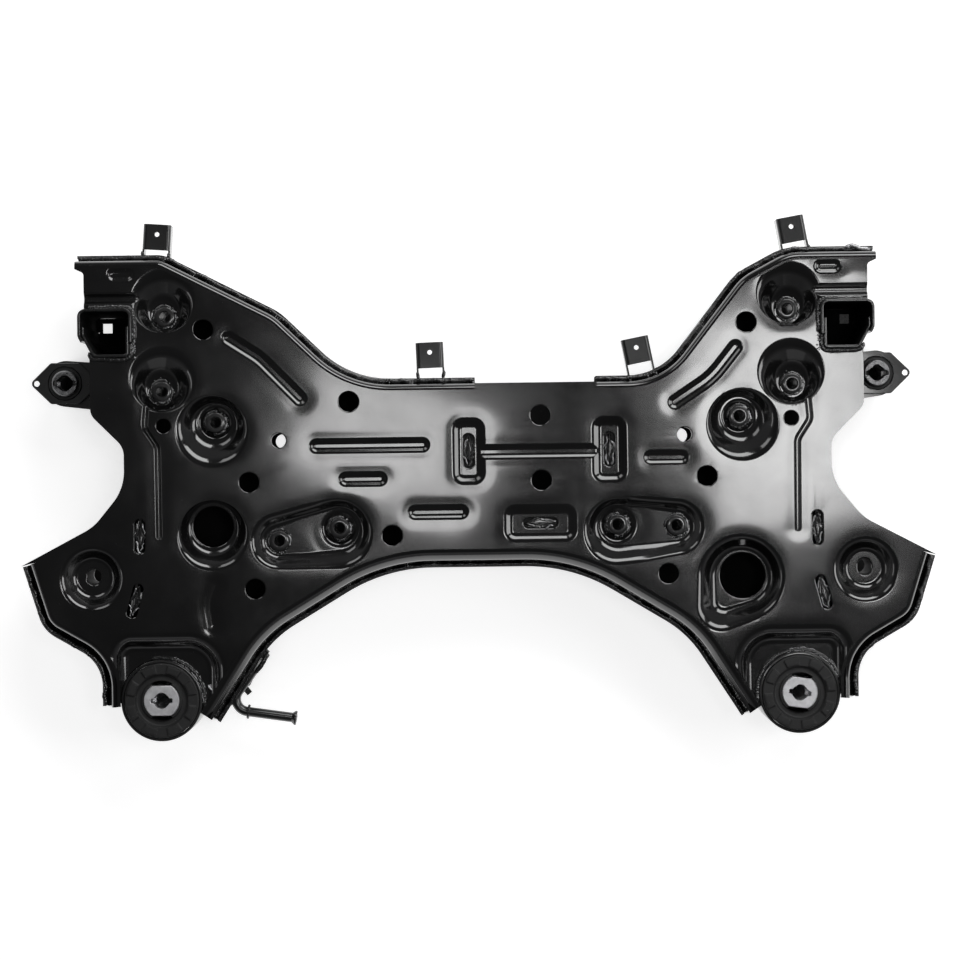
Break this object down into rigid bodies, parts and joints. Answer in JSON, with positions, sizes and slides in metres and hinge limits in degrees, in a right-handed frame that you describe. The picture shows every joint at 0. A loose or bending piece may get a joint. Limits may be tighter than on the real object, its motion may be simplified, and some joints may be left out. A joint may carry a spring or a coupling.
{
  "type": "subframe",
  "caption": "Black coated pressed-steel front subframe with welded shells, bolt dishes, bushes at its corners, open towers and a hanger rod.",
  "frame": {"origin": "middle of the overall box in plan, on the plane of the body mounts that the part rests on", "axes": "+X to the right of the plan seen from the road side, +Y to the front of the car, +Z away from the body towards the road"},
  "size_m": [0.92, 0.5224, 0.117],
  "materials": {
    "shell_steel": "satin black dip coat over pressed sheet",
    "inner_steel": "satin black dip coat",
    "tower_steel": "satin black dip coat",
    "mount_steel": "semi-gloss black coat",
    "bush_rubber": "matt moulded rubber",
    "core_metal": "machined",
    "bracket_steel": "satin black dip coat"
  },
  "bodies": {
    "root": {"road_panel": "shell_steel", "body_panel": "shell_steel", "wing_bulkhead_left": "inner_steel", "wing_bulkhead_right": "inner_steel", "rib_left": "inner_steel", "rib_right": "inner_steel", "cross_rib": "inner_steel", "front_upper_spacer_left": "inner_steel", "front_upper_spacer_right": "inner_steel", "front_lower_spacer_left": "inner_steel", "front_lower_spacer_right": "inner_steel", "mid_spacer_left": "inner_steel", "mid_spacer_right": "inner_steel", "rear_inner_spacer_left": "inner_steel", "rear_inner_spacer_right": "inner_steel", "rear_outer_spacer_left": "inner_steel", "rear_outer_spacer_right": "inner_steel", "arm_spacer_left": "inner_steel", "arm_spacer_right": "inner_steel", "tower_front_channel_left": "tower_steel", "tower_front_channel_right": "tower_steel", "tower_rear_channel_left": "tower_steel", "tower_rear_channel_right": "tower_steel", "tower_end_plate_left": "tower_steel", "tower_end_plate_right": "tower_steel", "front_bracket_left": "mount_steel", "front_bracket_right": "mount_steel", "front_housing_left": "mount_steel", "front_housing_right": "mount_steel", "front_flange_left": "mount_steel", "front_flange_right": "mount_steel", "rear_sleeve_left": "mount_steel", "rear_sleeve_right": "mount_steel", "front_rubber_left": "bush_rubber", "front_rubber_right": "bush_rubber", "rear_rubber_left": "bush_rubber", "rear_rubber_right": "bush_rubber", "front_core_left": "core_metal", "front_core_right": "core_metal", "rear_core_left": "core_metal", "rear_core_right": "core_metal", "tab_front_left": "bracket_steel", "tab_front_right": "bracket_steel", "tab_middle_left": "bracket_steel", "tab_middle_right": "bracket_steel", "hanger_rod": "bracket_steel", "hanger_gusset": "bracket_steel"}
  },
  "joints": []
}
